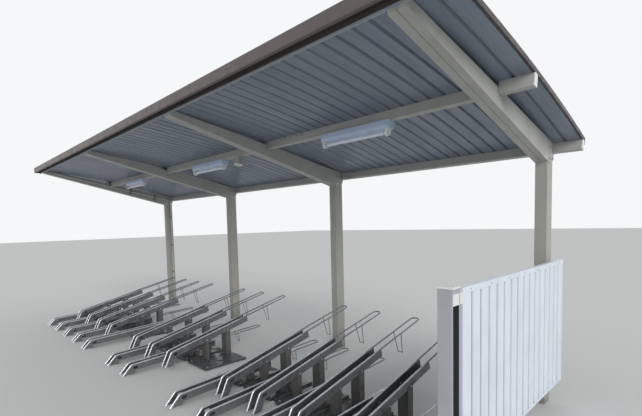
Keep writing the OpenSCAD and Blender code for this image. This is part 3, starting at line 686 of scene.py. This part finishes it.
rod_bright = display(214, 217, 220)
rod_grey = display(184, 187, 189)
hoop_grey = display(112, 114, 117)
leg_light = display(112, 111, 109)
leg_dull = display(92, 91, 88)
pan_light = display(96, 98, 100)
pan_dull = display(76, 77, 77)
tray_light = display(126, 127, 129)
tray_dull = display(106, 107, 107)
rod_zinc = galvanised("rod_zinc", rod_bright, rod_grey, flake=70.0, polish=0.28, metal=0.5, old=0.25)
tree = rod_zinc.node_tree
overlay(rod_zinc, ranged(tree, along(tree, "Y"), rubbed_to, dull_from, 0.0, 0.92), hoop_grey)
leg_zinc = galvanised("leg_zinc", leg_light, leg_dull, flake=50.0, polish=0.42, metal=0.5, old=0.4)
pan_zinc = galvanised("pan_zinc", pan_light, pan_dull, flake=50.0, polish=0.34, metal=0.6, old=0.5)
for group, start in group_starts.items():
    name = "tray_zinc_" + group
    tray_zinc = galvanised(name, tray_light, tray_dull, flake=50.0, polish=0.36, metal=0.6, old=0.35)
    dirt_and_shade_inside(tray_zinc, start)
    dress(["rack_" + group + "_trays"], tray_zinc)
    dress(["rack_" + group + "_hoops"], rod_zinc)
    dress(["rack_" + group + "_legs"], leg_zinc, 0.0008)
    dress(["rack_" + group + "_base"], pan_zinc, 0.0008)


# Rack bolts: one through each side of a tray at each leg, with its head outside and its nut
# in the tray, and an anchor through each corner of a pan into the floor.
leg_outer = 0.046
front_leg_middle = -1.356
rear_leg_middle = -1.090
leg_bolt_up = 0.012
pan_front = -1.540
pan_back = -1.030
pan_past = 0.080
pan_top = 0.025
anchor_in = 0.023
anchor_behind_lip = 0.036


def wall_low(nose, change, y):
    """Height of a tray's lower edge at a place from front to back."""
    slope = (change.z - nose.z) / (change.y - nose.y)
    return nose.z + (y - nose.y) * slope - tray_deep * math.sqrt(1 + slope * slope)


leg_places = []
anchor_places = []
for group in group_starts:
    highs = high_trays[group]
    lows = low_trays[group]
    legs = [(tray_x(group, number), high_nose, high_change, front_leg_middle) for number in highs]
    legs += [(tray_x(group, number), high_nose, high_change, rear_leg_middle) for number in highs]
    legs += [(tray_x(group, number), low_nose, low_change, front_leg_middle) for number in lows]
    for x, nose, change, y in legs:
        z = wall_low(nose, change, y) + leg_bolt_up
        for side in (-1, 1):
            leg_places.append(facing((x + side * leg_outer, y, z), (side, 0, 0)))
            leg_places.append(facing((x + side * tray_inner, y, z), (-side, 0, 0)))
    last_pan = max(highs[-1], lows[-1] + 1)
    for number in range(0, last_pan + 1, 2):
        pan_left = tray_x(group, number) - pan_past
        pan_right = tray_x(group, number - 1) + pan_past
        for x in (pan_left + anchor_in, pan_right - anchor_in):
            for y in (pan_front + anchor_behind_lip, pan_back - anchor_in):
                anchor_places.append(facing((x, y, pan_top), (0, 0, 1)))
leg_bolt = hex_bolt(across=0.013, head=0.005, washer=0.0085, thick=0.0014, sides=12)
set_out(leg_bolt, leg_places, "leg_bolts", bolt_zinc)
anchor = hex_bolt(across=0.013, head=0.007, washer=0.0105, thick=0.0015, sides=12)
set_out(anchor, anchor_places, "floor_anchors", bolt_zinc)


# Welds: a fillet of weld metal round each stirrup wire where it leaves the rod above it, and
# one where the bar meets each wire's foot, zinc coated with the rest.
rod_out = 0.0415
rod_radius = 0.007
wire_radius = 0.0035
stirrup_half = 0.023
stirrup_along = 0.48
stirrup_lean = 0.23
high_stirrup_drop = 0.190
low_stirrup_drop = 0.112
weld_long = 0.0065
weld_foot = 0.0072
weld_tip = wire_radius + 0.0006
weld_middle = weld_long * 0.3
weld_waist = 0.16
weld_ripples = 5
ripple_depth = 0.05
bpy.ops.object.select_all(action="DESELECT")
bpy.ops.mesh.primitive_cone_add(vertices=12, radius1=weld_foot, radius2=weld_tip, depth=weld_long)
weld = bpy.context.object
begin_edit(weld)
pick(weld, lambda face: abs(face.normal.z) < 0.9)
bpy.ops.mesh.subdivide(number_cuts=2)
shape = bmesh.from_edit_mesh(weld.data)
for corner in shape.verts:
    around = math.atan2(corner.co.y, corner.co.x)
    drawn = 1 - weld_waist * (1 - abs(corner.co.z) / (weld_long / 2))
    rippled = 1 + ripple_depth * math.sin(weld_ripples * around)
    corner.co.x *= drawn * rippled
    corner.co.y *= drawn * rippled
bmesh.update_edit_mesh(weld.data)
end_edit(weld, 60)

weld_places = []
for group in group_starts:
    hoops = [(number, high_change, high_end, high_stirrup_drop) for number in high_trays[group]]
    hoops += [(number, low_change, low_end, low_stirrup_drop) for number in low_trays[group]]
    for number, change, end, drop in hoops:
        x = tray_x(group, number)
        top = change + stirrup_along * (end - change)
        foot = top + Vector((0, stirrup_lean * drop, -drop))
        for side in (-1, 1):
            wire_top = Vector((x + side * rod_out, top.y, top.z))
            wire_foot = Vector((x + side * stirrup_half, foot.y, foot.z))
            way = (wire_foot - wire_top).normalized()
            weld_places.append(facing(wire_top + way * (rod_radius + weld_middle), way))
            bar_way = Vector((-side, 0, 0))
            weld_places.append(facing(wire_foot + bar_way * (wire_radius + weld_middle), bar_way))
set_out(weld, weld_places, "stirrup_welds", rod_zinc)


# Floor, light and camera: a plain pale floor, an even sky with one wide soft lamp on the right,
# and the camera low at the right-hand front corner, as the photograph was taken.
floor_middle = (-3.4, -1, 0)
floor_grey = display(212, 212, 209)
bpy.ops.object.select_all(action="DESELECT")
bpy.ops.mesh.primitive_plane_add(size=120, location=floor_middle)
floor = bpy.context.object
floor.name = "floor"
floor_finish, tree, shader = finish_named("pale_floor", Roughness=0.9, Specular_IOR_Level=0.0)
shader.inputs["Base Color"].default_value = floor_grey
floor.data.materials.append(floor_finish)

world = bpy.data.worlds.new("pale_sky")
world.use_nodes = True
bpy.context.scene.world = world
tree = world.node_tree
sky = tree.nodes["Background"]
sky.inputs["Color"].default_value = (0.93, 0.96, 1.0, 1.0)
sky.inputs["Strength"].default_value = 0.66
seen = tree.nodes.new("ShaderNodeBackground")
seen.inputs["Color"].default_value = (0.92, 0.93, 0.94, 1.0)
seen.inputs["Strength"].default_value = 1.0
path = tree.nodes.new("ShaderNodeLightPath")
mirrored = combined(tree, path.outputs["Is Camera Ray"], path.outputs["Is Glossy Ray"], "MAXIMUM")
shown = combined(tree, mirrored, path.outputs["Is Transmission Ray"], "MAXIMUM")
mix = tree.nodes.new("ShaderNodeMixShader")
tree.links.new(shown, mix.inputs["Fac"])
tree.links.new(sky.outputs["Background"], mix.inputs[1])
tree.links.new(seen.outputs["Background"], mix.inputs[2])
tree.links.new(mix.outputs["Shader"], tree.nodes["World Output"].inputs["Surface"])

lamp_from = Vector((14.0, -11.0, 9.0))
lamp_target = Vector((-3.0, -0.8, 1.0))
lamp_data = bpy.data.lights.new("soft_lamp", "SUN")
lamp_data.angle = math.radians(32)
lamp_data.energy = 1.55
lamp = bpy.data.objects.new("soft_lamp", lamp_data)
lamp.matrix_world = facing(lamp_from, lamp_from - lamp_target)
bpy.context.collection.objects.link(lamp)

image_width = 642
image_height = 416
focal_px = 404.7
principal_px = (317.0, 251.2)
camera_place = Vector((1.033, -3.594, 1.511))
camera_yaw = math.radians(45.25)
camera_pitch = math.radians(-3.92)
camera_roll = math.radians(-1.42)
camera_data = bpy.data.cameras.new("camera")
camera_data.sensor_width = 36
camera_data.lens = focal_px * camera_data.sensor_width / image_width
camera_data.shift_x = (image_width / 2 - principal_px[0]) / image_width
camera_data.shift_y = (principal_px[1] - image_height / 2) / image_width
camera = bpy.data.objects.new("camera", camera_data)
heading = Matrix.Rotation(camera_yaw, 4, "Z") @ Matrix.Rotation(math.pi / 2 + camera_pitch, 4, "X")
turned = heading @ Matrix.Rotation(camera_roll, 4, "Z")
camera.matrix_world = Matrix.Translation(camera_place) @ turned
bpy.context.collection.objects.link(camera)
bpy.context.scene.camera = camera
bpy.context.scene.view_settings.view_transform = "Standard"
